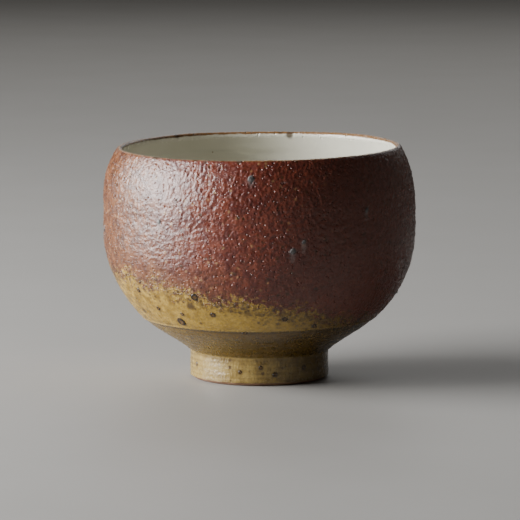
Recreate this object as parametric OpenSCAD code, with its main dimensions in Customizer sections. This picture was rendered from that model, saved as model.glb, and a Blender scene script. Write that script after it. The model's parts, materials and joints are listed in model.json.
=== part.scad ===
// Matcha bowl: a thrown stoneware bowl on a ring foot, glazed inside and out.
// Frame: +Z up, the origin is the centre of the plane that the foot rests on.

/* [Form] */
// Height from the resting plane to the top of the lip
bowl_h = 85; // [72:0.5:102]
// Outside diameter at the lip
mouth_d = 103.5; // [88:0.5:112]
// Outside diameter at the widest point of the belly
belly_d = 114; // [112:0.5:138]
// Height of the widest point of the belly
belly_z = 55; // [48:0.5:66]
// How late the shoulder turns in under the lip, as a power
shoulder_power = 3.2; // [2:0.1:5]
// Slope of the underside above the foot, in degrees from level
underside_slope = 33; // [26:1:42]

/* [Wall] */
// Wall at the lip, both glazes included
lip_wall = 2.6; // [2:0.1:4]
// Wall at the belly, both glazes included
belly_wall = 4.4; // [3.4:0.1:6]
// Height of the floor inside
floor_z = 13.5; // [12:0.5:17]
// Diameter of the flat well in the middle of the floor
well_d = 12; // [6:0.5:16]

/* [Foot] */
// Outside diameter of the foot, glaze included
foot_d = 50.5; // [42:0.5:61]
// Height at which the foot meets the underside
foot_h = 10.5; // [9:0.5:13]
// Width of the foot ring at its resting edge, bevels included
foot_ring_w = 6; // [4.5:0.5:8]
// Draft of the ring's inner side, in degrees
foot_draft = 6; // [0:1:12]
// Width of the bevel on both resting edges
foot_bevel_w = 0.8; // [0.4:0.1:1.2]
// Height of the bevel on both resting edges
foot_bevel_h = 1; // [0.5:0.1:1.5]
// Height of the bowl's underside at its centre, above the resting plane
base_z = 7.2; // [6:0.1:8.8]
// Thickness of the slip that joins the ring to the bowl
slip_t = 0.4; // [0.2:0.1:0.8]

/* [Glaze] */
// Thickness of the outside glaze coats
coat_t = 0.6; // [0.3:0.1:1]
// Thickness of the glaze inside
liner_t = 0.6; // [0.3:0.1:1]
// Radius of the glaze that pools between the foot and the underside
pool_r = 1.6; // [0.8:0.1:3]
// Height of the bare clay under the foot's glaze
bare_h = 1.6; // [1.5:0.1:3]
// Depth of the glaze band on the lip
lip_band_h = 2.6; // [2:0.1:5]
// Height at which the iron glaze gives way to the ash glaze
glaze_line_z = 38; // [24:0.5:48]

/* [Hidden] */
$fn = 180;

mouth_r = mouth_d / 2;
belly_r = belly_d / 2;
foot_r = foot_d / 2;
foot_clay_r = foot_r - coat_t;
well_r = well_d / 2;
lip_r = lip_wall / 2;
lip_band_z = bowl_h - lip_band_h;

// Steps along each stretch of the outline
cone_steps = 6;
hip_steps = 22;
shoulder_steps = 20;
lip_steps = 6;
floor_steps = 12;
pool_steps = 6;
base_steps = 8;

// Specks and grains in a coat, each [azimuth, share of the way up the coat, diameter].
// Azimuth 0 is +X and 270 is the front.
// Melted iron specks that break through the ash glaze, most of them near the glaze line
ASH_SPECKS = [[232, 0.54, 3], [241, 0.79, 2.7], [244, 0.92, 2.2], [250, 0.68, 1.8], [214, 0.92, 1.3],
              [235, 0.66, 1], [208, 0.61, 1.8], [222, 0.7, 1.2], [263, 0.42, 1.4], [281, 0.62, 1.6],
              [296, 0.5, 1.3], [325, 0.6, 1.8], [350, 0.8, 1.4], [20, 0.45, 2.4], [48, 0.75, 1.6],
              [77, 0.35, 2], [104, 0.6, 2.8], [131, 0.45, 1.6], [158, 0.8, 2.2], [184, 0.4, 1.8]];
// Specks in the glaze on the foot
FOOT_SPECKS = [[254, 0.4, 1], [283, 0.3, 1.4], [271, 0.6, 1], [310, 0.5, 1.2], [25, 0.4, 1.4],
               [96, 0.6, 1], [150, 0.35, 1.2], [205, 0.5, 1]];
// Feldspar grains that stand in the iron glaze
FELDSPAR_GRAINS = [[267, 0.91, 2], [282, 0.34, 1.8], [286, 0.41, 1.4], [231, 0.55, 1.2],
                   [312, 0.63, 1.2], [15, 0.45, 1.8], [62, 0.72, 1.4], [95, 0.2, 1.2],
                   [140, 0.6, 1.6], [188, 0.4, 1.2]];

// ---- Outline of the outside, as [radius, height] points with rising height ----

// Radius of the hip arc that is vertical at the belly and runs into the underside's slope
hip_r = ((belly_z - foot_h) * cos(underside_slope) - (belly_r - foot_r) * sin(underside_slope))
        / (1 - sin(underside_slope));
hip_centre = [belly_r - hip_r, belly_z];
hip_sweep = 90 - underside_slope;

// Where an arc of radius 1 that touches the foot's side and the underside meets each of them,
// below the corner between the two
corner_share = (1 - sin(underside_slope)) / cos(underside_slope);
// Height at which the clay of the foot's side meets the clay of the underside
joint_z = foot_h + coat_t * corner_share;
pool_centre = [foot_r + pool_r, foot_h - pool_r * corner_share];

// Lean of the shoulder from vertical where it reaches the lip, and the lip's round edge
lip_lean = atan(shoulder_power * (belly_r - mouth_r) / (bowl_h - belly_z));
lip_outer_z = bowl_h - lip_r + lip_r * sin(lip_lean);
lip_across = [cos(lip_lean), sin(lip_lean)];
lip_centre = [mouth_r, lip_outer_z] - lip_r * lip_across;

function pool_arc() = [for (i = [0 : pool_steps])
    let (a = 180 - hip_sweep * i / pool_steps)
    pool_centre + pool_r * [cos(a), sin(a)]];

// Points at depth d under the surface
function hip_point(a, d) = hip_centre + (hip_r - d) * [cos(a), -sin(a)];
function hip(d) = [for (i = [0 : hip_steps]) hip_point(hip_sweep * (1 - i / hip_steps), d)];
function underside(low, d) = [for (i = [1 : cone_steps - 1])
    low + (hip_point(hip_sweep, d) - low) * i / cone_steps];

// The shoulder from the belly, t = 0, to the lip, t = 1
function shoulder_lean(t) = atan(tan(lip_lean) * pow(t, shoulder_power - 1));
function shoulder_point(t, d) =
    [belly_r - (belly_r - mouth_r) * pow(t, shoulder_power), belly_z + (lip_outer_z - belly_z) * t]
    - d * [cos(shoulder_lean(t)), sin(shoulder_lean(t))];
function shoulder(d) = [for (i = [1 : shoulder_steps]) shoulder_point(i / shoulder_steps, d)];

function outer_skin() = concat([[foot_r, bare_h]], pool_arc(), underside(pool_arc()[pool_steps], 0),
                               hip(0), shoulder(0));
function outer_clay() = concat([[foot_clay_r, bare_h], [foot_clay_r, joint_z]],
                               underside([foot_clay_r, joint_z], coat_t), hip(coat_t), shoulder(coat_t));

// ---- Outline of the inside, rising from the edge of the well, at depth d under the surface ----

// Radius at which the underside's slope, moved inwards by depth d, reaches a height
function slope_radius(z, d) = foot_r + (z - foot_h - d / cos(underside_slope)) / tan(underside_slope);
// The floor curves up from the well into the inner side of the hip
function inside_floor(d) =
    let (well = [well_r, floor_z - d],
         corner = [slope_radius(floor_z - d, belly_wall - d), floor_z - d],
         hip_foot = hip_point(hip_sweep, belly_wall - d))
    [for (i = [0 : floor_steps - 1])
        let (t = i / floor_steps)
        (1 - t) * (1 - t) * well + 2 * t * (1 - t) * corner + t * t * hip_foot];
function wall_at(t) = belly_wall - (belly_wall - lip_wall) * t * t;
function inside_shoulder(d) = [for (i = [1 : shoulder_steps])
    let (t = i / shoulder_steps)
    shoulder_point(t, wall_at(t) - d)];
function inside(d) = concat(inside_floor(d), hip(belly_wall - d), inside_shoulder(d));
function inner_skin() = inside(0);
function inner_clay() = inside(liner_t);

// ---- The lip, a half circle from the wall's outer side over the top to its inner side ----

function lip_angles() = concat(
    [for (i = [0 : lip_steps]) lip_lean + (90 - lip_lean) * i / lip_steps],
    [for (i = [1 : lip_steps]) 90 + (90 + lip_lean) * i / lip_steps]);
// Each side of the wall at its own depth under the surface
function lip_arc(outer_d, inner_d) =
    let (centre = lip_centre + lip_across * (inner_d - outer_d) / 2,
         r = lip_r - (inner_d + outer_d) / 2)
    [for (a = lip_angles()) centre + r * [cos(a), sin(a)]];

// ---- The bowl's underside inside the ring ----

ring_inner_r = foot_r - foot_ring_w;
ring_inner_top_r = ring_inner_r - tan(foot_draft) * base_z;

function base_height(r) = base_z + (joint_z - base_z) * pow(r / foot_clay_r, 2);
function base_curve(r_in, drop) = [for (i = [0 : base_steps])
    let (r = r_in + (foot_clay_r - r_in) * i / base_steps)
    [r, base_height(r) - drop]];

// ---- Slices of an outline ----

function reversed(p) = [for (i = [len(p) - 1 : -1 : 0]) p[i]];
function radius_at(p, z) = lookup(z, [for (q = p) [q[1], q[0]]]);
// The stretch of an outline above a height or between two, with a point put in at each of them
function above(p, low) = concat([[radius_at(p, low), low]], [for (q = p) if (q[1] > low + 0.01) q]);
function between(p, low, high) = concat([for (q = above(p, low)) if (q[1] < high - 0.01) q],
                                        [[radius_at(p, high), high]]);

// ---- Modules ----

// One coat of the outside glaze, between two heights
module coat(low, high) {
    rotate_extrude()
        polygon(concat(between(outer_skin(), low, high),
                       reversed(between(outer_clay(), low, high))));
}

// Short rods across the coat between two heights, at the places of a list of specks
module speck_rods(list, low, high) {
    skin = outer_skin();
    for (s = list) {
        z = low + (high - low) * s[1];
        tilt = 90 - atan(radius_at(skin, z - 0.5) - radius_at(skin, z + 0.5));
        rotate([0, 0, s[0]])
            translate([radius_at(skin, z), 0, z])
                rotate([0, tilt, 0])
                    cylinder(d = s[2], h = 4 * coat_t, center = true, $fn = 24);
    }
}

// A coat with a list of specks cut out of it, and the specks by themselves
module coat_without(list, low, high) {
    difference() {
        coat(low, high);
        speck_rods(list, low, high);
    }
}
module specks_of(list, low, high) {
    intersection() {
        coat(low, high);
        speck_rods(list, low, high);
    }
}

module bowl_wall() {
    color("#8d6a55")
        rotate_extrude()
            polygon(concat(base_curve(0, 0),
                           [for (p = outer_clay()) if (p[1] > joint_z) p],
                           lip_arc(coat_t, liner_t),
                           reversed(inner_clay()),
                           [[0, floor_z - liner_t]]));
}

module foot_ring() {
    color("#a0714f")
        rotate_extrude()
            polygon(concat([[ring_inner_r, foot_bevel_h],
                            [ring_inner_r + foot_bevel_w, 0],
                            [foot_clay_r - foot_bevel_w, 0],
                            [foot_clay_r, foot_bevel_h]],
                           reversed(base_curve(ring_inner_top_r, slip_t))));
}

module joining_slip() {
    color("#b88d6c")
        rotate_extrude()
            polygon(concat(base_curve(ring_inner_top_r, slip_t),
                           reversed(base_curve(ring_inner_top_r, 0))));
}

module liner_glaze() {
    color("#d9d6c6")
        rotate_extrude()
            polygon(concat([[0, floor_z]],
                           between(inner_skin(), floor_z, lip_band_z),
                           reversed(between(inner_clay(), floor_z - liner_t, lip_band_z)),
                           [[0, floor_z - liner_t]]));
}

module lip_glaze() {
    color("#7a5230")
        rotate_extrude()
            polygon(concat(above(outer_skin(), lip_band_z),
                           lip_arc(0, 0),
                           reversed(above(inner_skin(), lip_band_z)),
                           above(inner_clay(), lip_band_z),
                           reversed(lip_arc(coat_t, liner_t)),
                           reversed(above(outer_clay(), lip_band_z))));
}

module iron_glaze() {
    color("#7b3a2c")
        coat_without(FELDSPAR_GRAINS, glaze_line_z, lip_band_z);
}

module ash_glaze() {
    color("#9a7d43")
        coat_without(ASH_SPECKS, foot_h, glaze_line_z);
}

module foot_glaze() {
    color("#8a7443")
        coat_without(FOOT_SPECKS, bare_h, foot_h);
}

module iron_specks() {
    color("#4a2f1a") {
        specks_of(ASH_SPECKS, foot_h, glaze_line_z);
        specks_of(FOOT_SPECKS, bare_h, foot_h);
    }
}

module feldspar_grains() {
    color("#8f8f9a")
        specks_of(FELDSPAR_GRAINS, glaze_line_z, lip_band_z);
}

bowl_wall();
foot_ring();
joining_slip();
liner_glaze();
lip_glaze();
iron_glaze();
ash_glaze();
foot_glaze();
iron_specks();
feldspar_grains();
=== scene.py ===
"""The matcha bowl's looks: thrown stoneware under an iron glaze and an ash glaze, with cream glaze inside."""

import json
import math
import random

import bmesh
import bpy
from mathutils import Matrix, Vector
from mathutils.kdtree import KDTree

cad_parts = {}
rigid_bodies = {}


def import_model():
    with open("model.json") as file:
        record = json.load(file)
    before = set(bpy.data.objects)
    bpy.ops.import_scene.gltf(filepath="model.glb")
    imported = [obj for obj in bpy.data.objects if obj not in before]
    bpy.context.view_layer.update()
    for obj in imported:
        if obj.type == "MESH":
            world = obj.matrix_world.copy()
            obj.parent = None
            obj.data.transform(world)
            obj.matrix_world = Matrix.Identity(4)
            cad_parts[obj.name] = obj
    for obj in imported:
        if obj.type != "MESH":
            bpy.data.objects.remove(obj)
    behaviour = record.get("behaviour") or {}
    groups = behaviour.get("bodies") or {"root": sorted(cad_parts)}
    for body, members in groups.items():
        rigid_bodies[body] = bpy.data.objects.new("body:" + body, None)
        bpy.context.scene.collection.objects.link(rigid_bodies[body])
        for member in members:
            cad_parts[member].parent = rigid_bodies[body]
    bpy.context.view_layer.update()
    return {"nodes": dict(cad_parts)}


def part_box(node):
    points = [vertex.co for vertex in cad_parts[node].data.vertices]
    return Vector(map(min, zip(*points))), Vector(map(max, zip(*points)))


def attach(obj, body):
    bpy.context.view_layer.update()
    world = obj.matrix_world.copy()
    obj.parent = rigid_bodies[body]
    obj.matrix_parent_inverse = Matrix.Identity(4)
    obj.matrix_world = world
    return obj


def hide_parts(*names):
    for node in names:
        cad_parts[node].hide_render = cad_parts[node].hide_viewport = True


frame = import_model()

MM = 0.001
chance = random.Random(7)

CLAY_NODES = ["bowl_wall", "foot_ring", "joining_slip"]
COAT_NODES = ["foot_glaze", "ash_glaze", "iron_glaze", "lip_glaze"]

RIM_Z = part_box("lip_glaze")[1].z
LIP_BAND_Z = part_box("lip_glaze")[0].z
GLAZE_LINE_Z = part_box("iron_glaze")[0].z
FOOT_TOP_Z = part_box("ash_glaze")[0].z
BELLY_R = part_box("iron_glaze")[1].x
BARE_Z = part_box("foot_glaze")[0].z
# The recess under the foot, at its top: the bed of slip round it is about 6.4 mm wide
RECESS_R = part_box("joining_slip")[1].x - 6.4 * MM
# The last cut of the trimming tool, a little under half way up the ochre glaze
TRIM_Z = FOOT_TOP_Z + 0.44 * (GLAZE_LINE_Z - FOOT_TOP_Z)
# The middle of the wall at the lip
LIP_MID_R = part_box("lip_glaze")[1].x - 2.15 * MM
# The bowl was dipped at a slant: the glaze line's height on the axis, and its fall per metre of X and Y
DIP_Z, DIP_X, DIP_Y = GLAZE_LINE_Z - 7.5 * MM, 0.175, 0.02

# Skin spacing and turning steps: the outside's grid is 0.46 mm square at the belly
COAT_SPACING, COAT_STEPS = 0.46 * MM, 780
LINER_SPACING, LINER_STEPS = 0.8 * MM, 480
CLAY_SPACING, CLAY_STEPS = 0.5 * MM, 420
SLIP_SPACING = 0.2 * MM
# Hidden points of an outline are thinned out where it bends less than this, and away from the seams
GENTLE_BEND = math.radians(4)
SEAM_MARGIN = 0.3 * MM
SEAMS = (FOOT_TOP_Z, GLAZE_LINE_Z, LIP_BAND_Z)
# How dark the iron stain is around a speck, and how far it reaches past it
STAIN, STAIN_REACH = 0.85, 0.9 * MM
# Bends sharper than this are edges; everything softer is shaded smooth
SHARP_BEND = math.radians(50)
# A speck's farthest point lies a little past its edge in the glaze, by its depth
EDGE_SHARE = 0.93
# The nearest point of the coat is sought from just outside a place, as a share of its distance
JUST_OUTSIDE = 1.002


# ---- Working in object and edit mode ----

def make_active(piece):
    bpy.ops.object.select_all(action="DESELECT")
    piece.select_set(True)
    bpy.context.view_layer.objects.active = piece


def start_edit(piece, mode="VERT"):
    make_active(piece)
    bpy.ops.object.mode_set(mode="EDIT")
    bpy.ops.mesh.select_mode(type=mode)


def end_edit():
    bpy.ops.object.mode_set(mode="OBJECT")


def pick(piece, kind, test):
    """In edit mode, selects only the verts, edges or faces that pass the test."""
    bpy.ops.mesh.select_all(action="DESELECT")
    mesh = bmesh.from_edit_mesh(piece.data)
    for part in getattr(mesh, kind):
        if test(part):
            part.select_set(True)
    bmesh.update_edit_mesh(piece.data)


def copy_of_node(node):
    copy = bpy.data.objects.new(node + "_copy", frame["nodes"][node].data.copy())
    copy.data.materials.clear()
    bpy.context.scene.collection.objects.link(copy)
    return copy


def join(pieces, name):
    make_active(pieces[0])
    for piece in pieces:
        piece.select_set(True)
    if len(pieces) > 1:
        bpy.ops.object.join()
    joined = bpy.context.active_object
    joined.name = name
    joined.data.name = name
    return joined


def separate(piece, how):
    """Separates a piece and gives back all the objects that it becomes."""
    before = set(bpy.context.scene.objects)
    start_edit(piece)
    bpy.ops.mesh.select_all(action="SELECT")
    bpy.ops.mesh.separate(type=how)
    end_edit()
    return [piece] + [o for o in bpy.context.scene.objects if o not in before]


def apply_modifier(piece, kind, **settings):
    make_active(piece)
    modifier = piece.modifiers.new(kind.title(), kind)
    for key, value in settings.items():
        setattr(modifier, key, value)
    bpy.ops.object.modifier_apply(modifier=modifier.name)


def ramp(value, low, high):
    """0 at low, 1 at high, and smooth between them; low may be the larger."""
    t = min(max((value - low) / (high - low), 0), 1)
    return t * t * (3 - 2 * t)


# ---- Turning: an outline is cut from the CAD nodes, refined, and turned round the bowl's axis ----

def on_clay(point):
    for node in CLAY_NODES:
        found, near, _, _ = frame["nodes"][node].closest_point_on_mesh(point)
        if found and (near - point).length < 0.1 * MM:
            return True
    return False


def cut_outline(name, nodes):
    """The outline of the nodes at azimuth 0, as one wire on the +X side."""
    wire = join([copy_of_node(node) for node in nodes], name)
    start_edit(wire)
    bpy.ops.mesh.select_all(action="SELECT")
    bpy.ops.mesh.remove_doubles(threshold=0.001 * MM)
    bpy.ops.mesh.bisect(plane_co=(0, 0, 0), plane_no=(0, 1, 0), clear_inner=True, clear_outer=True)
    bpy.ops.mesh.select_all(action="SELECT")
    bpy.ops.mesh.bisect(plane_co=(0, 0, 0), plane_no=(1, 0, 0), clear_inner=True)
    bpy.ops.mesh.select_all(action="SELECT")
    bpy.ops.mesh.remove_doubles(threshold=0.01 * MM)
    # the ends that two nodes share
    pick(wire, "edges", lambda e: all(len(v.link_edges) > 2 for v in e.verts))
    bpy.ops.mesh.delete(type="EDGE")
    end_edit()
    return wire


def refine(wire, shows, spacing, smoothing):
    """Divides and smooths the stretch of the wire that shows, and thins out the rest."""
    skin = wire.vertex_groups.new(name="skin")
    skin.add([v.index for v in wire.data.vertices if shows(v.co)], 1, "REPLACE")
    start_edit(wire)

    def in_skin(vert):
        return 0 in vert[bmesh.from_edit_mesh(wire.data).verts.layers.deform.active]

    def cuts(edge):
        return round(edge.calc_length() / spacing) - 1 if all(in_skin(v) for v in edge.verts) else 0

    def on_bend(vert):
        a, b = (e.other_vert(vert).co - vert.co for e in vert.link_edges)
        return a.angle(-b, 0) > GENTLE_BEND

    mesh = bmesh.from_edit_mesh(wire.data)
    hidden = [v for v in mesh.verts if not in_skin(v) and len(v.link_edges) == 2]
    hidden.sort(key=lambda v: v.co.z)
    spare = {v.index for rank, v in enumerate(hidden)
             if rank % 3 and all(not in_skin(e.other_vert(v)) for e in v.link_edges)
             and not on_bend(v) and min(abs(v.co.z - z) for z in SEAMS) > SEAM_MARGIN}
    pick(wire, "verts", lambda v: v.index in spare)
    bpy.ops.mesh.dissolve_verts()
    bpy.ops.mesh.select_mode(type="EDGE")
    for number in sorted({cuts(e) for e in bmesh.from_edit_mesh(wire.data).edges} - {0, -1}):
        pick(wire, "edges", lambda e: cuts(e) == number)
        bpy.ops.mesh.subdivide(number_cuts=number)
    bpy.ops.mesh.select_mode(type="VERT")
    pick(wire, "verts", lambda v: len(v.link_edges) == 2 and in_skin(v)
         and all(in_skin(e.other_vert(v)) for e in v.link_edges))
    bpy.ops.mesh.vertices_smooth(factor=0.5, repeat=smoothing)
    end_edit()


def shift_outline(wire, low, high, offset):
    """Moves the skin of an outline between two heights by an offset of (x, z)."""
    start_edit(wire)
    deform = bmesh.from_edit_mesh(wire.data).verts.layers.deform.active
    pick(wire, "verts", lambda v: low <= v.co.z < high and 0 in v[deform])
    bpy.ops.transform.translate(value=(offset[0], 0, offset[1]))
    end_edit()


def turn(wire, steps):
    """Turns an outline into a closed body of revolution."""
    apply_modifier(wire, "SCREW", axis="Z", angle=2 * math.pi, steps=steps, render_steps=steps,
                   use_merge_vertices=True, merge_threshold=0.002 * MM)
    start_edit(wire)
    bpy.ops.mesh.select_all(action="SELECT")
    bpy.ops.mesh.normals_make_consistent(inside=False)
    end_edit()


# ---- Relief: noise pushed into a skin along its normals ----

def weigh(piece, name, rule):
    """A vertex group over the skin, with a weight from 0 to 1 that the rule gives for a point."""
    group = piece.vertex_groups.new(name=name)
    for v in piece.data.vertices:
        if any(g.group == 0 for g in v.groups):
            group.add([v.index], rule(v.co), "REPLACE")


def emboss(piece, group, size, height, stretch=(1, 1, 1), contrast=1.0):
    """Pushes noise of a size in metres into a group; stretch draws it out along the axes."""
    texture = bpy.data.textures.new(f"{piece.name}_{group}", "CLOUDS")
    texture.noise_scale = size
    texture.contrast = contrast
    texture.noise_depth = 1
    bpy.ops.object.empty_add()
    stretcher = bpy.context.active_object
    stretcher.scale = stretch
    bpy.context.view_layer.update()
    apply_modifier(piece, "DISPLACE", texture=texture, strength=height, mid_level=0.5,
                   vertex_group=group, texture_coords="OBJECT", texture_coords_object=stretcher)
    make_active(stretcher)
    bpy.ops.object.delete()
    bpy.data.textures.remove(texture)


def set_attribute(piece, name, values):
    piece.data.attributes.new(name, "FLOAT", "POINT").data.foreach_set("value", values)


# ---- The hand of the thrower: one lattice bends every piece alike ----

def make_hand_lattice():
    bpy.ops.object.add(type="LATTICE", location=(0, 0, RIM_Z / 2))
    cage = bpy.context.active_object
    cage.scale = (2.3 * BELLY_R, 2.3 * BELLY_R, 1.04 * RIM_Z)
    lattice = cage.data
    lattice.points_u = lattice.points_v = 5
    lattice.points_w = 9
    for point in lattice.points:
        x, y, z = point.co_deform
        up = min(max(z + 0.5, 0), 1)
        # the rim dips to the left, where the shoulder is fuller and the hip flatter; the wall wavers a little
        dip = 0.7 * MM * 2 * x * up ** 2
        left = ramp(x, -0.1, -0.5)
        fuller = left * MM * (-1.3 * ramp(abs(up - 0.875), 0.1, 0) + 0.9 * ramp(abs(up - 0.75), 0.1, 0)
                              + 0.7 * ramp(abs(up - 0.375), 0.2, 0))
        waver = [0.3 * MM * chance.uniform(-1, 1) * ramp(up, 0.2, 0.5) for _ in range(3)]
        point.co_deform = (x + (fuller + waver[0]) / cage.scale.x, y + waver[1] / cage.scale.y,
                           z + (dip + 0.4 * waver[2]) / cage.scale.z)
    return cage


hand_lattice = make_hand_lattice()


def finish_piece(piece, node, material):
    """Bends a finished piece with the others, gives it its material and puts it in the node's place."""
    apply_modifier(piece, "LATTICE", object=hand_lattice)
    piece.data.materials.clear()
    piece.data.materials.append(material)
    make_active(piece)
    bpy.ops.object.shade_smooth_by_angle(angle=SHARP_BEND)
    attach(piece, "root")
    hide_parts(node)


# ---- Materials ----
# Map Range has the value as input 0, the range it comes from as 1 and 2, and the range it goes to as 3 and 4.
# Mix has the share as input 0, two numbers as 2 and 3 or two colours as 6 and 7, and its colour as output 2.

SMOOTH = {"interpolation_type": "SMOOTHSTEP"}
RGBA = {"data_type": "RGBA"}


def hex_colour(text):
    """An sRGB hex colour as linear RGBA."""
    def linear(c):
        return c / 12.92 if c <= 0.04045 else ((c + 0.055) / 1.055) ** 2.4
    return tuple(linear(int(text[i:i + 2], 16) / 255) for i in (1, 3, 5)) + (1.0,)


def per_mm(size):
    """A pattern's scale on coordinates in metres, from its size in millimetres."""
    return 1000 / size


def add_node(tree, kind, inputs=None, output=0, **settings):
    """Adds a node with its settings and gives back an output, or all; an input is a value or a socket."""
    node = tree.nodes.new("ShaderNode" + kind)
    for key, value in settings.items():
        setattr(node, key, value)
    for socket, value in (inputs or {}).items():
        if isinstance(value, bpy.types.NodeSocket):
            tree.links.new(value, node.inputs[socket])
        else:
            node.inputs[socket].default_value = value
    return node.outputs if output is None else node.outputs[output]


def new_material(name, **shader_values):
    """A new material, its node tree, its shader's inputs and the place on the piece."""
    material = bpy.data.materials.new(name)
    material.use_nodes = True
    tree = material.node_tree
    shader = tree.nodes["Principled BSDF"]
    for socket, value in shader_values.items():
        shader.inputs[socket].default_value = value
    return material, tree, shader.inputs, add_node(tree, "TexCoord", output="Object")


def across_light(tree, place, cloud):
    """Metres from the bowl's axis towards +X, the side in shade, with a wavering of some millimetres; the
    glazes paint light on the -X side and shade on the +X side by it.
    """
    across = add_node(tree, "SeparateXYZ", {0: place}, "X")
    waver = add_node(tree, "MapRange", {0: cloud, 3: -10 * MM, 4: 10 * MM})
    return add_node(tree, "Math", {0: across, 1: waver}, operation="ADD")


def red_glaze(tree, mottle, cloud, thinned, toward_shade, fleck):
    """Iron red, tan where it is thin; tan on the -X side as painted light, and nearly black on the +X side as
    painted shade.
    """
    mottled = add_node(tree, "MapRange", {0: mottle, 1: 0.35, 2: 0.65}, **SMOOTH)
    red = add_node(tree, "Mix", {0: mottled, 6: hex_colour("#55211a"), 7: hex_colour("#773a29")}, 2, **RGBA)
    clouded = add_node(tree, "MapRange", {0: cloud, 1: 0.35, 2: 0.65, 4: 0.5}, **SMOOTH)
    red = add_node(tree, "Mix", {0: clouded, 6: red, 7: hex_colour("#53221a")}, 2, **RGBA)
    tan = add_node(tree, "Mix", {0: mottled, 6: hex_colour("#4a2a18"), 7: hex_colour("#7a4f30")}, 2, **RGBA)
    # The thin glaze's tan shows mostly on the -X side: painted light
    lit_share = add_node(tree, "MapRange", {0: toward_shade, 1: 0, 2: -40 * MM, 3: 0.1, 4: 1}, **SMOOTH)
    thin_there = add_node(tree, "Math", {0: thinned, 1: lit_share}, operation="MULTIPLY")
    # Tan growing towards -X from 16 to 50 mm off the axis: painted light
    lit_tan = add_node(tree, "MapRange", {0: toward_shade, 1: -16 * MM, 2: -50 * MM, 4: 0.85}, **SMOOTH)
    thin_or_lit_tan = add_node(tree, "Math", {0: thin_there, 1: lit_tan}, operation="MAXIMUM")
    red = add_node(tree, "Mix", {0: thin_or_lit_tan, 6: red, 7: tan}, 2, **RGBA)
    red = add_node(tree, "Mix", {0: fleck, 6: red, 7: hex_colour("#a27d55")}, 2, **RGBA)
    # Nearly black towards +X: painted shade
    shaded_side = add_node(tree, "MapRange", {0: toward_shade, 1: -4 * MM, 2: 34 * MM, 4: 0.78}, **SMOOTH)
    return add_node(tree, "Mix", {0: shaded_side, 6: red, 7: hex_colour("#643427")}, 2, **RGBA)


def ochre_glaze(tree, place, mottle, height, foot, toward_shade):
    """Ash ochre: mottled on the belly, olive where it was trimmed in fine lines and darker there partly as
    painted shade, brighter in the middle as painted light and darker towards +X as painted shade, streaky on
    the foot.
    """
    mottled = add_node(tree, "MapRange", {0: mottle, 1: 0.35, 2: 0.65}, **SMOOTH)
    ochre = add_node(tree, "Mix", {0: mottled, 6: hex_colour("#795c15"), 7: hex_colour("#ab8b3d")}, 2, **RGBA)
    # Brighter ochre except on the far -X side: painted light
    ochre_lit_share = add_node(tree, "MapRange", {0: toward_shade, 1: -36 * MM, 2: -4 * MM, 4: 0.5}, **SMOOTH)
    ochre = add_node(tree, "Mix", {0: ochre_lit_share, 6: ochre, 7: hex_colour("#bd9a42")}, 2, **RGBA)
    # The trimming tool's lines, about 1.1 mm apart and drawn out round the bowl
    lines_place = add_node(tree, "VectorMath", {0: place, 1: (40, 40, 1000)}, operation="MULTIPLY")
    lines = add_node(tree, "TexNoise", {"Vector": lines_place, "Scale": 1 / 1.1, "Detail": 2})
    lined = add_node(tree, "MapRange", {0: lines, 1: 0.35, 2: 0.65}, **SMOOTH)
    # The trimmed zone's olive is darker partly as painted shade, since that zone faces down
    olive = add_node(tree, "Mix", {0: lined, 6: hex_colour("#382804"), 7: hex_colour("#563c0d")}, 2, **RGBA)
    # More of the olive towards +X: painted shade
    depth = add_node(tree, "MapRange", {0: toward_shade, 1: -42 * MM, 2: -4 * MM, 3: 0.45, 4: 0.85}, **SMOOTH)
    trim_edge = {1: TRIM_Z + 0.8 * MM, 2: TRIM_Z - 0.8 * MM}
    trimmed = add_node(tree, "MapRange", {0: height, **trim_edge, 4: depth}, **SMOOTH)
    ochre = add_node(tree, "Mix", {0: trimmed, 6: ochre, 7: olive}, 2, **RGBA)
    # Painted highlight, a pale broken line on the ridge, and painted shade, a dark line under it
    ridge = add_node(tree, "Math", {0: height, 1: TRIM_Z + 0.3 * MM, 2: 0.35 * MM}, operation="COMPARE")
    broken = add_node(tree, "MapRange", {0: lines, 1: 0.3, 2: 0.6, 4: 0.6})
    ridge = add_node(tree, "Math", {0: ridge, 1: broken}, operation="MULTIPLY")
    ochre = add_node(tree, "Mix", {0: ridge, 6: ochre, 7: hex_colour("#b89c60")}, 2, **RGBA)
    under_ridge_shade = add_node(tree, "Math", {0: height, 1: TRIM_Z - 0.5 * MM, 2: 0.4 * MM}, operation="COMPARE")
    under_ridge_shade = add_node(tree, "Math", {0: under_ridge_shade, 1: 0.5}, operation="MULTIPLY")
    ochre = add_node(tree, "Mix", {0: under_ridge_shade, 6: ochre, 7: hex_colour("#332407")}, 2, **RGBA)
    soft = add_node(tree, "MapRange", {0: mottle, 1: 0.25, 2: 0.75}, **SMOOTH)
    soft = add_node(tree, "Mix", {0: 0.4, 2: soft, 3: lined})
    pale = add_node(tree, "Mix", {0: soft, 6: hex_colour("#5c4618"), 7: hex_colour("#9d864c")}, 2, **RGBA)
    ochre = add_node(tree, "Mix", {0: foot, 6: ochre, 7: pale}, 2, **RGBA)
    # Darker towards +X: painted shade
    shaded_side = add_node(tree, "MapRange", {0: toward_shade, 1: -2 * MM, 2: 34 * MM, 4: 0.7}, **SMOOTH)
    return add_node(tree, "Mix", {0: shaded_side, 6: ochre, 7: hex_colour("#47330c")}, 2, **RGBA)


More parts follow.
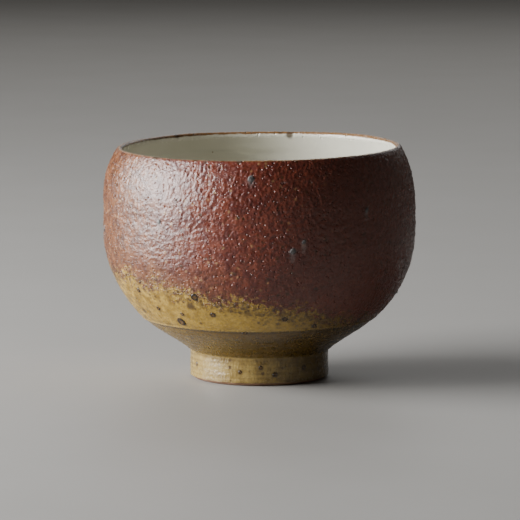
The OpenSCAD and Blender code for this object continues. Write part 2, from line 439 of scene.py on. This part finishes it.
def iron_and_ash_glaze():
    """Iron glaze over ash glaze, wood fired: leathery red-brown where it is thick, glossy ochre below."""
    material, tree, shader, place = new_material("iron_over_ash_glaze", IOR=1.62)
    height = add_node(tree, "SeparateXYZ", {0: place}, "Z")
    mottle = add_node(tree, "TexNoise", {"Vector": place, "Scale": per_mm(3), "Detail": 5, "Roughness": 0.65})
    cloud = add_node(tree, "TexNoise", {"Vector": place, "Scale": per_mm(24), "Detail": 2})
    toward_shade = across_light(tree, place, cloud)

    # Millimetres above the slanted glaze line, which is patchy over 11 mm and ragged over 1.6 mm
    slant = add_node(tree, "VectorMath", {0: place, 1: (DIP_X / MM, DIP_Y / MM, 1 / MM)}, 1,
                     operation="DOT_PRODUCT")
    above = add_node(tree, "Math", {0: slant, 1: DIP_Z / MM}, operation="SUBTRACT")
    patches = add_node(tree, "TexNoise", {"Vector": place, "Scale": per_mm(11), "Detail": 2})
    patches = add_node(tree, "MapRange", {0: patches, 1: 0.25, 2: 0.75, 3: -2.5, 4: 2.5}, **SMOOTH)
    patchy = add_node(tree, "Math", {0: above, 1: patches}, operation="ADD")
    ragged = add_node(tree, "TexNoise",
                      {"Vector": place, "Scale": per_mm(1.6), "Detail": 5, "Roughness": 0.7})
    ragged = add_node(tree, "MapRange", {0: ragged, 1: 0.3, 2: 0.7, 3: -4.4, 4: 4.4}, **SMOOTH)
    edge = add_node(tree, "Math", {0: patchy, 1: ragged}, operation="ADD")
    iron = add_node(tree, "MapRange", {0: edge, 1: -1.6, 2: 2.6}, **SMOOTH)
    thinned = add_node(tree, "MapRange", {0: patchy, 1: 20, 2: 0}, **SMOOTH)
    line = add_node(tree, "Math", {0: above, 1: 1.0}, operation="ADD")
    from_line = add_node(tree, "Math", {0: line}, operation="ABSOLUTE")

    foot = add_node(tree, "MapRange", {0: height, 1: FOOT_TOP_Z + 1 * MM, 2: FOOT_TOP_Z - 0.6 * MM}, **SMOOTH)
    # Flecks of unmelted ash in the red, about a millimetre across; most lie on the -X side
    warp = add_node(tree, "TexNoise", {"Vector": place, "Scale": per_mm(1.2), "Detail": 2}, "Color")
    wavy = add_node(tree, "VectorMath", {0: warp, 1: (0.9 * MM,) * 3, 2: place}, operation="MULTIPLY_ADD")
    ash = add_node(tree, "TexVoronoi", {"Vector": wavy, "Scale": per_mm(2.6)}, None)
    ash_share = add_node(tree, "MapRange", {0: toward_shade, 1: 0, 2: -45 * MM, 3: 0.2, 4: 0.6})
    ash_share = add_node(tree, "Math", {0: thinned, 1: 0.35, 2: ash_share}, operation="MULTIPLY_ADD")
    ash_draw = add_node(tree, "SeparateColor", {0: ash["Color"]})
    ash_here = add_node(tree, "Math", {0: ash_draw, 1: ash_share}, operation="LESS_THAN")
    fleck = add_node(tree, "MapRange", {0: ash["Distance"], 1: 0.26, 2: 0.12, 4: 0.65})
    fleck = add_node(tree, "Math", {0: fleck, 1: ash_here}, operation="MULTIPLY")

    red = red_glaze(tree, mottle, cloud, thinned, toward_shade, fleck)
    ochre = ochre_glaze(tree, place, mottle, height, foot, toward_shade)
    colour = add_node(tree, "Mix", {0: iron, 6: ochre, 7: red}, 2, **RGBA)

    # Burnt blotches along the line, fewer on the -X side
    blotch = add_node(tree, "TexNoise",
                      {"Vector": place, "Scale": per_mm(1.8), "Detail": 4, "Roughness": 0.7})
    near = add_node(tree, "MapRange", {0: from_line, 1: 5.5, 2: 0.5, 4: 0.16}, **SMOOTH)
    burnt = add_node(tree, "Math", {0: blotch, 1: near}, operation="ADD")
    burnt = add_node(tree, "MapRange", {0: burnt, 1: 0.59, 2: 0.7, 4: 0.75}, **SMOOTH)
    share = add_node(tree, "MapRange", {0: toward_shade, 1: -50 * MM, 2: -8 * MM, 3: 0.3, 4: 0.8}, **SMOOTH)
    burnt = add_node(tree, "Math", {0: burnt, 1: share}, operation="MULTIPLY")
    colour = add_node(tree, "Mix", {0: burnt, 6: colour, 7: hex_colour("#40280a")}, 2, **RGBA)
    # Iron that has boiled up through the glaze in dots of about a millimetre, thickest along the line
    iron_cells = add_node(tree, "TexVoronoi", {"Vector": wavy, "Scale": per_mm(1.7)}, None)
    often = add_node(tree, "MapRange", {0: from_line, 1: 1, 2: 7, 3: 0.5, 4: 0.055}, **SMOOTH)
    dot_draw = add_node(tree, "SeparateColor", {0: iron_cells["Color"]})
    dot_here = add_node(tree, "Math", {0: dot_draw, 1: often}, operation="LESS_THAN")
    dot = add_node(tree, "MapRange", {0: iron_cells["Distance"], 1: 0.5, 2: 0.22, 4: 0.8}, **SMOOTH)
    dot = add_node(tree, "Math", {0: dot, 1: dot_here}, operation="MULTIPLY")
    colour = add_node(tree, "Mix", {0: dot, 6: colour, 7: hex_colour("#3a230a")}, 2, **RGBA)
    # The milky streak that each feldspar grain left under it
    milky = add_node(tree, "Attribute", output="Fac", attribute_name="milky")
    colour = add_node(tree, "Mix", {0: milky, 6: colour, 7: hex_colour("#7f7370")}, 2, **RGBA)

    # The glaze runs thin over the lip: amber outside, cream inside
    within = add_node(tree, "Attribute", output="Fac", attribute_name="within")
    colour = add_node(tree, "Mix", {0: within, 6: colour, 7: hex_colour("#cfccbd")}, 2, **RGBA)
    thin = add_node(tree, "Attribute", output="Fac", attribute_name="thin")
    wear = add_node(tree, "TexNoise", {"Vector": place, "Scale": per_mm(4.5), "Detail": 4, "Roughness": 0.7})
    worn = add_node(tree, "Math", {0: wear, 1: 0.75, 2: thin}, operation="MULTIPLY_ADD")
    worn = add_node(tree, "MapRange", {0: worn, 1: 0.85, 2: 1.15}, **SMOOTH)
    amber = add_node(tree, "Mix", {0: mottle, 6: hex_colour("#5b3a20"), 7: hex_colour("#8a6840")}, 2, **RGBA)
    colour = add_node(tree, "Mix", {0: worn, 6: colour, 7: amber}, 2, **RGBA)
    # The stain around each melted speck
    stain = add_node(tree, "Attribute", output="Fac", attribute_name="iron_stain")
    colour = add_node(tree, "Mix", {0: stain, 6: colour, 7: hex_colour("#3b260c")}, 2, **RGBA)
    tree.links.new(colour, shader["Base Color"])

    rough = add_node(tree, "MapRange", {0: iron, 3: 0.28, 4: 0.29})
    wet = add_node(tree, "Math", {0: foot, 1: within}, operation="MAXIMUM")
    rough = add_node(tree, "Mix", {0: wet, 2: rough, 3: 0.22})
    uneven = add_node(tree, "TexNoise", {"Vector": place, "Scale": per_mm(1.4), "Detail": 3})
    uneven = add_node(tree, "MapRange", {0: uneven, 1: 0.3, 2: 0.7, 3: -0.06, 4: 0.08}, **SMOOTH)
    tree.links.new(add_node(tree, "Math", {0: rough, 1: uneven}, operation="ADD"), shader["Roughness"])

    # Orange peel: soft bumps of 0.8 mm, and pinholes in the red
    peel = add_node(tree, "TexNoise", {"Vector": place, "Scale": per_mm(0.8), "Detail": 3, "Roughness": 0.6})
    pins = add_node(tree, "TexVoronoi", {"Vector": place, "Scale": per_mm(1.6)}, "Distance")
    pits = add_node(tree, "MapRange", {0: pins, 1: 0.0, 2: 0.3, 3: -1.2, 4: 0}, **SMOOTH)
    skin = add_node(tree, "Math", {0: pits, 1: iron, 2: peel}, operation="MULTIPLY_ADD")
    strength = add_node(tree, "MapRange", {0: iron, 3: 0.25, 4: 0.8})
    skin = add_node(tree, "Math", {0: skin, 1: strength}, operation="MULTIPLY")
    bump = add_node(tree, "Bump", {"Height": skin, "Strength": 1.0, "Distance": 0.3 * MM})
    tree.links.new(bump, shader["Normal"])
    return material


def cream_glaze():
    """Feldspar glaze inside: cream white with a breath of grey-green, glossy, a few brown specks."""
    material, tree, shader, place = new_material("cream_feldspar_glaze", IOR=1.52)
    cloud = add_node(tree, "TexNoise", {"Vector": place, "Scale": per_mm(22), "Detail": 2})
    cloud = add_node(tree, "MapRange", {0: cloud, 1: 0.2, 2: 0.8}, **SMOOTH)
    colour = add_node(tree, "Mix", {0: cloud, 6: hex_colour("#c6c4b4"), 7: hex_colour("#d6d3c5")}, 2, **RGBA)
    # It lies thicker and greyer in the throwing rings, about 5 mm apart
    rings_place = add_node(tree, "VectorMath", {0: place, 1: (60, 60, 1000)}, operation="MULTIPLY")
    rings = add_node(tree, "TexNoise", {"Vector": rings_place, "Scale": 1 / 5, "Detail": 3})
    rings = add_node(tree, "MapRange", {0: rings, 1: 0.52, 2: 0.7, 4: 0.6}, **SMOOTH)
    colour = add_node(tree, "Mix", {0: rings, 6: colour, 7: hex_colour("#a3a293")}, 2, **RGBA)
    cells = add_node(tree, "TexVoronoi", {"Vector": place, "Scale": per_mm(4.5)}, None)
    dot_draw = add_node(tree, "SeparateColor", {0: cells["Color"]})
    dot_here = add_node(tree, "Math", {0: dot_draw, 1: 0.18}, operation="LESS_THAN")
    dot = add_node(tree, "MapRange", {0: cells["Distance"], 1: 0.1, 2: 0.05, 4: 0.7}, **SMOOTH)
    dot = add_node(tree, "Math", {0: dot, 1: dot_here}, operation="MULTIPLY")
    colour = add_node(tree, "Mix", {0: dot, 6: colour, 7: hex_colour("#7a6244")}, 2, **RGBA)
    thin = add_node(tree, "Attribute", output="Fac", attribute_name="thin")
    colour = add_node(tree, "Mix", {0: thin, 6: colour, 7: hex_colour("#b9965f")}, 2, **RGBA)
    stained = add_node(tree, "Attribute", output="Fac", attribute_name="iron_stain")
    colour = add_node(tree, "Mix", {0: stained, 6: colour, 7: hex_colour("#4b3212")}, 2, **RGBA)
    tree.links.new(colour, shader["Base Color"])
    sheen = add_node(tree, "TexNoise", {"Vector": place, "Scale": per_mm(5), "Detail": 2})
    sheen = add_node(tree, "MapRange", {0: sheen, 1: 0.3, 2: 0.7, 3: 0.2, 4: 0.26}, **SMOOTH)
    tree.links.new(sheen, shader["Roughness"])
    waves = add_node(tree, "TexNoise", {"Vector": place, "Scale": per_mm(2.2), "Detail": 2})
    bump = add_node(tree, "Bump", {"Height": waves, "Strength": 0.6, "Distance": 0.1 * MM})
    tree.links.new(bump, shader["Normal"])
    return material


def stoneware_clay():
    """Bare fired stoneware: sandy, matt, toasted pink-brown, with grit that the trimming tool dragged."""
    material, tree, shader, place = new_material("stoneware_clay", Roughness=0.85)
    cloud = add_node(tree, "TexNoise", {"Vector": place, "Scale": per_mm(9), "Detail": 3})
    cloud = add_node(tree, "MapRange", {0: cloud, 1: 0.3, 2: 0.7}, **SMOOTH)
    colour = add_node(tree, "Mix", {0: cloud, 6: hex_colour("#7b5b46"), 7: hex_colour("#9d7a61")}, 2, **RGBA)
    grit = add_node(tree, "TexNoise", {"Vector": place, "Scale": per_mm(0.7), "Detail": 3, "Roughness": 0.7})
    sandy = add_node(tree, "MapRange", {0: grit, 1: 0.55, 2: 0.75, 4: 0.7}, **SMOOTH)
    colour = add_node(tree, "Mix", {0: sandy, 6: colour, 7: hex_colour("#68462f")}, 2, **RGBA)
    tree.links.new(colour, shader["Base Color"])
    bump = add_node(tree, "Bump", {"Height": grit, "Strength": 0.8, "Distance": 0.12 * MM})
    tree.links.new(bump, shader["Normal"])
    return material


def clay_slip():
    """Joining slip: the same clay without its grit, so finer and a little paler."""
    material, tree, shader, place = new_material("clay_slip", Roughness=0.8)
    cloud = add_node(tree, "TexNoise", {"Vector": place, "Scale": per_mm(3), "Detail": 3})
    colour = add_node(tree, "Mix", {0: cloud, 6: hex_colour("#a87e5f"), 7: hex_colour("#c39c7b")}, 2, **RGBA)
    tree.links.new(colour, shader["Base Color"])
    smear = add_node(tree, "TexNoise", {"Vector": place, "Scale": per_mm(1.1), "Detail": 2})
    bump = add_node(tree, "Bump", {"Height": smear, "Strength": 0.5, "Distance": 0.1 * MM})
    tree.links.new(bump, shader["Normal"])
    return material


def melted_iron():
    """Iron spots melted through the glaze: a nearly black ring, browner in the middle where it boiled."""
    material, tree, shader, place = new_material("melted_iron_speck", Roughness=0.24, IOR=1.6)
    grain = add_node(tree, "TexNoise", {"Vector": place, "Scale": per_mm(0.8), "Detail": 2})
    middle = add_node(tree, "Attribute", output="Fac", attribute_name="middle")
    boiled = add_node(tree, "Math", {0: grain, 1: 0.5, 2: middle}, operation="MULTIPLY_ADD")
    boiled = add_node(tree, "MapRange", {0: boiled, 1: 0.6, 2: 0.95}, **SMOOTH)
    colour = add_node(tree, "Mix", {0: boiled, 6: hex_colour("#241606"), 7: hex_colour("#5c421f")}, 2, **RGBA)
    tree.links.new(colour, shader["Base Color"])
    crust = add_node(tree, "TexNoise", {"Vector": place, "Scale": per_mm(0.5), "Detail": 2})
    bump = add_node(tree, "Bump", {"Height": crust, "Strength": 0.6, "Distance": 0.08 * MM})
    tree.links.new(bump, shader["Normal"])
    return material


def blue_feldspar():
    """Feldspar grains half melted into the glaze: dull blue-grey, milky, satin."""
    material, tree, shader, place = new_material("blue_feldspar_grain", Roughness=0.55, IOR=1.53)
    cloud = add_node(tree, "TexNoise", {"Vector": place, "Scale": per_mm(0.9), "Detail": 2})
    cloud = add_node(tree, "MapRange", {0: cloud, 1: 0.35, 2: 0.65}, **SMOOTH)
    colour = add_node(tree, "Mix", {0: cloud, 6: hex_colour("#4a4748"), 7: hex_colour("#74716f")}, 2, **RGBA)
    tree.links.new(colour, shader["Base Color"])
    pocks = add_node(tree, "TexNoise", {"Vector": place, "Scale": per_mm(0.6), "Detail": 2})
    bump = add_node(tree, "Bump", {"Height": pocks, "Strength": 0.5, "Distance": 0.1 * MM})
    tree.links.new(bump, shader["Normal"])
    return material


def pale_floor():
    """A painted studio table: pale warm grey, nearly matt."""
    material, tree, shader, place = new_material("pale_table_paint", Roughness=0.55)
    cloud = add_node(tree, "TexNoise", {"Vector": place, "Scale": per_mm(60), "Detail": 2})
    colour = add_node(tree, "Mix", {0: cloud, 6: hex_colour("#94928e"), 7: hex_colour("#9a9895")}, 2, **RGBA)
    tree.links.new(colour, shader["Base Color"])
    return material


COAT_GLAZE = iron_and_ash_glaze()
CREAM_GLAZE = cream_glaze()
CLAY = stoneware_clay()
SLIP = clay_slip()
MELTED_IRON = melted_iron()
FELDSPAR = blue_feldspar()


# ---- Specks and grains, where the CAD nodes have theirs ----

def places_in(node):
    """The centre and radius of each separate solid in a node."""
    copy = copy_of_node(node)
    start_edit(copy)
    bpy.ops.mesh.select_all(action="SELECT")
    bpy.ops.mesh.remove_doubles(threshold=0.001 * MM)
    end_edit()
    places = []
    for solid in separate(copy, "LOOSE"):
        points = [v.co for v in solid.data.vertices]
        centre = sum(points, Vector()) / len(points)
        places.append((centre, max((p - centre).length for p in points) * EDGE_SHARE))
        make_active(solid)
        bpy.ops.object.delete()
    return sorted(places, key=lambda p: tuple(p[0]))


SPECKS = places_in("iron_specks")
GRAINS = places_in("feldspar_grains")
# Iron that boiled out on the lip, as azimuth, radius from the axis, height and size in millimetres
RIM_MARKS = [(Vector((r * math.cos(math.radians(a)), r * math.sin(math.radians(a)), z)) * MM, size * MM)
             for a, r, z, size in ((224, 51, 84.7, 1.0), (244, 50.8, 84.8, 0.5), (262, 51, 84.6, 0.7),
                                   (76.8, 49.9, 83.7, 1.0), (81, 50.2, 84.6, 0.5), (20, 50.6, 84.8, 0.6),
                                   (128, 50.5, 84.4, 0.8), (301, 50.9, 84.8, 0.4))]


def model_speck():
    """A low round blister of radius 1 and height in millimetres, with a sunk middle."""
    bpy.ops.mesh.primitive_cylinder_add(vertices=18, radius=1, depth=0.4, location=(0, 0, -0.2))
    speck = bpy.context.active_object
    bpy.ops.object.transform_apply(location=True, rotation=False, scale=False)
    start_edit(speck, "FACE")
    pick(speck, "faces", lambda f: f.normal.z > 0.9)
    for inset, rise in ((0.18, 0.09), (0.22, 0.05), (0.22, -0.07), (0.16, -0.02)):
        bpy.ops.mesh.inset(thickness=inset)
        bpy.ops.transform.translate(value=(0, 0, rise))
    bpy.ops.mesh.poke()
    end_edit()
    apply_modifier(speck, "SUBSURF", levels=1, render_levels=1)
    set_attribute(speck, "middle", [max(1 - math.hypot(*v.co[:2]), 0) for v in speck.data.vertices])
    return speck


def model_grain():
    """A flattened lump of radius 1 that has sagged a little down the wall, which is its -Y."""
    bpy.ops.mesh.primitive_ico_sphere_add(subdivisions=3, radius=1)
    grain = bpy.context.active_object
    start_edit(grain)
    bpy.ops.mesh.select_all(action="SELECT")
    bpy.ops.transform.resize(value=(0.8, 1, 0.35))
    pick(grain, "verts", lambda v: v.co.y < -0.3)
    bpy.ops.transform.resize(value=(0.55, 1.5, 0.7), center_override=(0, -0.3, 0))
    end_edit()
    return grain


def set_in_coat(model, places, name, coat, growth, lift, noise_size, noise_height):
    """Copies of a model on the coat at the places, as one piece; each has melted outwards by its growth."""
    copies = []
    for centre, radius in places:
        make_active(model)
        bpy.ops.object.duplicate()
        copy = bpy.context.active_object
        _, near, normal, _ = coat.closest_point_on_mesh(centre * JUST_OUTSIDE)
        outward = (centre - Vector((0, 0, centre.z))).normalized()
        normal = (normal + outward * 0.2).normalized()
        copy.location = near + normal * lift
        copy.rotation_euler = normal.to_track_quat("Z", "Y").to_euler()
        width, length = (growth * radius * chance.uniform(0.85, 1.1) for _ in range(2))
        copy.scale = (width, length, MM)
        bpy.ops.object.transform_apply()
        copies.append(copy)
    make_active(model)
    bpy.ops.object.delete()
    piece = join(copies, name)
    piece.vertex_groups.new(name="skin").add([v.index for v in piece.data.vertices], 1, "REPLACE")
    emboss(piece, "skin", noise_size, noise_height)
    return piece


# ---- The outside coat: one skin, embossed, then parted into its four glazes ----

def rim_thinness(point):
    """How thin the glaze has run near the lip, from 0 to 1, and how far a point lies within the mouth."""
    radius = math.hypot(point.x, point.y)
    outside = ramp(point.z, RIM_Z - 0.7 * MM, RIM_Z)
    inside = ramp(point.z, RIM_Z - 2.2 * MM, RIM_Z - 0.1 * MM)
    within = ramp(radius, LIP_MID_R + 0.5 * MM, LIP_MID_R - 0.5 * MM) if point.z > RIM_Z - 6 * MM else 0
    return outside + (inside - outside) * within, within


def stain(piece, name, places, most, reach):
    """Writes how stained each point is, from its distance to the places, which are (centre, radius)."""
    values = [0.0] * len(piece.data.vertices)
    tree = KDTree(len(values))
    for v in piece.data.vertices:
        tree.insert(v.co, v.index)
    tree.balance()
    for centre, radius in places:
        for _, index, distance in tree.find_range(centre, radius + reach):
            values[index] = max(values[index], most * ramp(distance, radius + reach, radius * 0.9))
    set_attribute(piece, name, values)


def make_coat():
    """The whole outside as one embossed skin, with the attributes that its glaze reads."""
    coat = cut_outline("coat", COAT_NODES)
    refine(coat, lambda p: not on_clay(p), COAT_SPACING, 4)
    # the trimmed zone is cut back under a fine groove and ridge
    outward = Vector((0.6, -0.8))
    shift_outline(coat, FOOT_TOP_Z + 1 * MM, TRIM_Z, outward * -0.16 * MM)
    shift_outline(coat, TRIM_Z, TRIM_Z + 0.5 * MM, outward * 0.1 * MM)
    shift_outline(coat, TRIM_Z + 0.6 * MM, TRIM_Z + 1.1 * MM, outward * -0.16 * MM)
    # the foot's glaze hangs over the bare clay
    shift_outline(coat, 0, BARE_Z + 0.1 * MM, (0, -0.5 * MM))
    turn(coat, COAT_STEPS)

    def free(p):
        return ramp(math.hypot(p.x, p.y), LIP_MID_R - 0.9 * MM, LIP_MID_R) if p.z > LIP_BAND_Z - 1 * MM else 1

    def iron(p):
        line = DIP_Z - DIP_X * p.x - DIP_Y * p.y
        return ramp(p.z, line - 2 * MM, line + 5 * MM)

    def at_lip(p):
        return ramp(p.z, RIM_Z - 3 * MM, RIM_Z)

    weigh(coat, "all", free)
    weigh(coat, "leather", lambda p: free(p) * (0.3 + 0.7 * iron(p)) * (1 - 0.5 * at_lip(p)))
    weigh(coat, "streaks", lambda p: free(p) * ramp(p.z, 52 * MM, 66 * MM) * (1 - 0.6 * at_lip(p)))
    weigh(coat, "ripples",
          lambda p: free(p) * (0.35 + 0.65 * iron(p)) * (1 - 0.6 * ramp(p.z, 60 * MM, 72 * MM)))
    weigh(coat, "trimming", lambda p: ramp(p.z, TRIM_Z + 1 * MM, TRIM_Z - 1 * MM))
    emboss(coat, "all", 26 * MM, 0.5 * MM)
    emboss(coat, "all", 5 * MM, 0.30 * MM, (9, 9, 1))
    emboss(coat, "ripples", 0.7 * MM, 0.21 * MM, (5, 5, 1), contrast=1.6)
    emboss(coat, "leather", 0.65 * MM, 0.32 * MM, contrast=1.7)
    emboss(coat, "streaks", 0.6 * MM, 0.26 * MM, (1, 1, 2.6), contrast=1.6)
    emboss(coat, "trimming", 0.8 * MM, 0.14 * MM, (40, 40, 1))

    thinness = [rim_thinness(v.co) for v in coat.data.vertices]
    set_attribute(coat, "thin", [t for t, _ in thinness])
    set_attribute(coat, "within", [w for _, w in thinness])
    stain(coat, "iron_stain", SPECKS + RIM_MARKS, STAIN, STAIN_REACH)
    streaks = [(centre - Vector((0, 0, drop * MM)), radius * (1 - drop / 6))
               for centre, radius in GRAINS for drop in range(4)]
    stain(coat, "milky", streaks, 0.5, 0.8 * MM)
    return coat


def part_coat(coat, heights):
    """Parts the coat along its rows at the seams, and closes each part's ends."""
    for node in COAT_NODES:
        coat.data.materials.append(bpy.data.materials.new("part_" + node))
    for face in coat.data.polygons:
        middle = sum(heights[i] for i in face.vertices) / len(face.vertices)
        within = middle > LIP_BAND_Z - 2 * MM and math.hypot(*face.center[:2]) < LIP_MID_R
        face.material_index = 3 if within else sum(middle > seam for seam in SEAMS)
    parts = {}
    for part in separate(coat, "MATERIAL"):
        node = part.data.materials[0].name.removeprefix("part_")
        part.name = part.data.name = node + "_layer"
        start_edit(part, "EDGE")
        middle_z = sum(v.co.z for v in part.data.vertices) / len(part.data.vertices)
        for side in (-1, 1):
            pick(part, "edges", lambda e: len(e.link_faces) == 1 and (e.verts[0].co.z - middle_z) * side > 0)
            if any(e.select for e in bmesh.from_edit_mesh(part.data).edges):
                bpy.ops.mesh.bridge_edge_loops()
        bpy.ops.mesh.select_all(action="SELECT")
        bpy.ops.mesh.normals_make_consistent(inside=False)
        end_edit()
        parts[node] = part
    for node in COAT_NODES:
        bpy.data.materials.remove(bpy.data.materials["part_" + node])
    return parts


coat = make_coat()
iron_specks = set_in_coat(model_speck(), SPECKS, "iron_speck_blisters", coat, growth=1.35,
                          lift=0.07 * MM, noise_size=0.9 * MM, noise_height=0.15 * MM)
feldspar_grains = set_in_coat(model_grain(), GRAINS, "feldspar_grain_lumps", coat, growth=1.6,
                              lift=0.08 * MM, noise_size=0.8 * MM, noise_height=0.3 * MM)
parts = part_coat(coat, [v.co.z for v in coat.data.vertices])
for node, part in parts.items():
    finish_piece(part, node, COAT_GLAZE)
finish_piece(iron_specks, "iron_specks", MELTED_IRON)
finish_piece(feldspar_grains, "feldspar_grains", FELDSPAR)


# ---- The inside glaze ----

def make_liner():
    liner = cut_outline("liner_glaze_layer", ["liner_glaze"])
    refine(liner, lambda p: not on_clay(p), LINER_SPACING, 4)
    turn(liner, LINER_STEPS)
    weigh(liner, "rings", lambda p: ramp(p.z, LIP_BAND_Z, LIP_BAND_Z - 6 * MM)
          * ramp(math.hypot(p.x, p.y), 1 * MM, 8 * MM))
    emboss(liner, "rings", 30 * MM, 0.6 * MM)
    emboss(liner, "rings", 5 * MM, 0.6 * MM, (9, 9, 1))
    set_attribute(liner, "thin", [rim_thinness(v.co)[0] for v in liner.data.vertices])
    stain(liner, "iron_stain", RIM_MARKS, STAIN, STAIN_REACH)
    return liner


finish_piece(make_liner(), "liner_glaze", CREAM_GLAZE)


# ---- The clay: it shows under the foot and in the recess ----

def make_bowl_wall():
    wall = cut_outline("bowl_wall_clay", ["bowl_wall"])
    refine(wall, lambda p: p.x < RECESS_R + 1 * MM and p.z < FOOT_TOP_Z, CLAY_SPACING, 1)
    turn(wall, CLAY_STEPS)
    weigh(wall, "grit", lambda p: ramp(math.hypot(p.x, p.y), 0.3 * MM, 3 * MM))
    emboss(wall, "grit", 1.0 * MM, 0.10 * MM)
    return wall


def make_foot_ring():
    ring = cut_outline("foot_ring_clay", ["foot_ring"])
    refine(ring, lambda p: p.z < FOOT_TOP_Z - 3 * MM, CLAY_SPACING, 2)
    turn(ring, CLAY_STEPS)
    weigh(ring, "grit", lambda p: ramp(p.z, 0, 0.6 * MM))
    emboss(ring, "grit", 1.0 * MM, 0.12 * MM)
    return ring


def make_slip():
    slip = cut_outline("joining_slip_bead", ["joining_slip"])
    refine(slip, lambda p: p.x < RECESS_R + 1 * MM, SLIP_SPACING, 0)
    turn(slip, CLAY_STEPS)
    weigh(slip, "bead", lambda p: 1)
    emboss(slip, "bead", 2.5 * MM, 0.2 * MM)
    return slip


finish_piece(make_bowl_wall(), "bowl_wall", CLAY)
finish_piece(make_foot_ring(), "foot_ring", CLAY)
finish_piece(make_slip(), "joining_slip", SLIP)
make_active(hand_lattice)
bpy.ops.object.delete()


# ---- The stage ----

def make_stage():
    bpy.ops.mesh.primitive_plane_add(size=12, location=(0, 0, 0))
    floor = bpy.context.active_object
    floor.name = "table"
    floor.data.materials.append(pale_floor())

    world = bpy.data.worlds.new("studio")
    bpy.context.scene.world = world
    world.use_nodes = True
    sky = world.node_tree.nodes["Background"]
    tree = world.node_tree
    direction = add_node(tree, "TexCoord", output="Generated")
    upwards = add_node(tree, "SeparateXYZ", {0: direction}, "Z")
    strength = add_node(tree, "MapRange", {0: upwards, 2: 0.8, 3: 0.22, 4: 0.05}, **SMOOTH)
    sky.inputs["Color"].default_value = hex_colour("#d6d1c8")
    tree.links.new(strength, sky.inputs["Strength"])

    def window(name, place, size, watts):
        lamp = bpy.data.lights.new(name, "AREA")
        lamp.shape = "RECTANGLE"
        lamp.size, lamp.size_y = size
        lamp.energy = watts
        holder = bpy.data.objects.new(name, lamp)
        bpy.context.scene.collection.objects.link(holder)
        holder.location = place
        holder.rotation_euler = (Vector((0, 0, 0.05)) - holder.location).to_track_quat("-Z", "Y").to_euler()

    window("left_window", (-0.98, -0.14, 0.38), (0.85, 0.7), 44)
    window("back_wall", (0.15, 1.4, 0.9), (1.6, 1.0), 6)


def make_camera():
    lens = bpy.data.cameras.new("camera")
    lens.sensor_width = 36
    lens.lens = 302.9
    camera = bpy.data.objects.new("camera", lens)
    bpy.context.scene.collection.objects.link(camera)
    aim = Vector((0.26 * MM, 0, 42.8 * MM))
    elevation, distance = math.radians(7.63), 1.6
    camera.location = aim + distance * Vector((0, -math.cos(elevation), math.sin(elevation)))
    camera.rotation_euler = (aim - camera.location).to_track_quat("-Z", "Y").to_euler()
    bpy.context.scene.camera = camera


make_stage()
make_camera()
